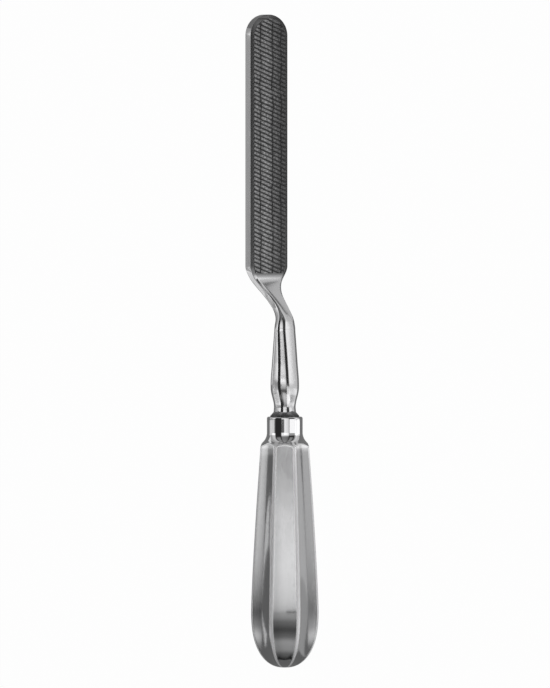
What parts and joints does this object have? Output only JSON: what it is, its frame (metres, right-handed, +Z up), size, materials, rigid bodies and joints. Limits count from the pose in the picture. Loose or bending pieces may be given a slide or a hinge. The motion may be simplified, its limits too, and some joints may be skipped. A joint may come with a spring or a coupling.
{
  "type": "bone file",
  "caption": "Bone file: a long flat blade with slanting teeth and a rounded tip, on a cranked faceted shank in a fluted octagonal steel handle, for smoothing bone by hand.",
  "frame": {"origin": "middle of the base of the whole tool's box, on the surface that the tool lies on", "axes": "+Y from the butt to the tip, +Z up, +X to the right when the toothed face that shows leans to the right"},
  "size_m": [0.0258, 0.2286, 0.0238],
  "materials": {
    "blade_steel": "satin steel with cut teeth, polished on the shank",
    "handle_steel": "satin ground flutes, polished collar and ridges"
  },
  "bodies": {
    "root": {"file_blade": "blade_steel", "handle": "handle_steel"}
  },
  "joints": []
}
